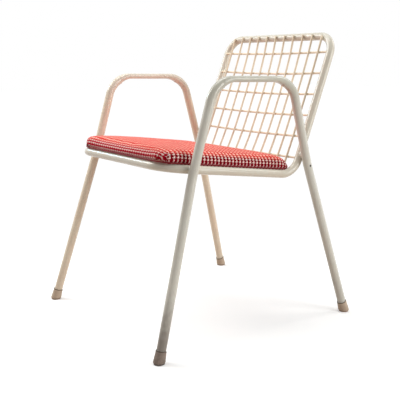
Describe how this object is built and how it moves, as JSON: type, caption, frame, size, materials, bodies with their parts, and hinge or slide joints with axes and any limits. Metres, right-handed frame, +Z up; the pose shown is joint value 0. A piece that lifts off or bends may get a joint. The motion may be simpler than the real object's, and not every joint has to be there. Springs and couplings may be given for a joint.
{
  "type": "retro metal lawn chair",
  "caption": "Patio armchair with bent tube side frames, a one-piece seat and back loop filled with a bowed wire grid, and a loose upholstered seat cushion.",
  "frame": {"origin": "on the floor, midway between the four feet", "axes": "+Z up, -Y towards the front of the chair, +X towards the sitter's left arm"},
  "size_m": [0.5768, 0.6213, 0.7402],
  "materials": {
    "tube_paint": "gloss cream enamel on steel tube",
    "wire_paint": "gloss cream enamel on steel wire",
    "foot_cap": "grey-brown moulded cap, matte and scuffed",
    "cushion_fabric": "woven red and off-white houndstooth over soft filling"
  },
  "bodies": {
    "frame": {"seat_back_frame": "tube_paint", "side_frame_left": "tube_paint", "side_frame_right": "tube_paint", "weld_front_left": "tube_paint", "weld_front_right": "tube_paint", "weld_rear_left": "tube_paint", "weld_rear_right": "tube_paint", "foot_cap_front_left": "foot_cap", "foot_cap_front_right": "foot_cap", "foot_cap_rear_left": "foot_cap", "foot_cap_rear_right": "foot_cap", "long_wire_1": "wire_paint", "long_wire_2": "wire_paint", "long_wire_3": "wire_paint", "long_wire_4": "wire_paint", "long_wire_5": "wire_paint", "long_wire_6": "wire_paint", "long_wire_7": "wire_paint", "long_wire_8": "wire_paint", "long_wire_9": "wire_paint", "long_wire_10": "wire_paint", "long_wire_11": "wire_paint", "cross_wire_1": "wire_paint", "cross_wire_2": "wire_paint", "cross_wire_3": "wire_paint", "cross_wire_4": "wire_paint", "cross_wire_5": "wire_paint", "cross_wire_6": "wire_paint", "cross_wire_7": "wire_paint", "cross_wire_8": "wire_paint", "cross_wire_9": "wire_paint", "cross_wire_10": "wire_paint", "cross_wire_11": "wire_paint", "cross_wire_12": "wire_paint"},
    "cushion": {"seat_cushion": "cushion_fabric"}
  },
  "joints": [
    {"name": "cushion_lift", "type": "slide", "parent": "frame", "child": "cushion", "axis": [0, 0, 1], "range_m": [0, 0.26]}
  ]
}
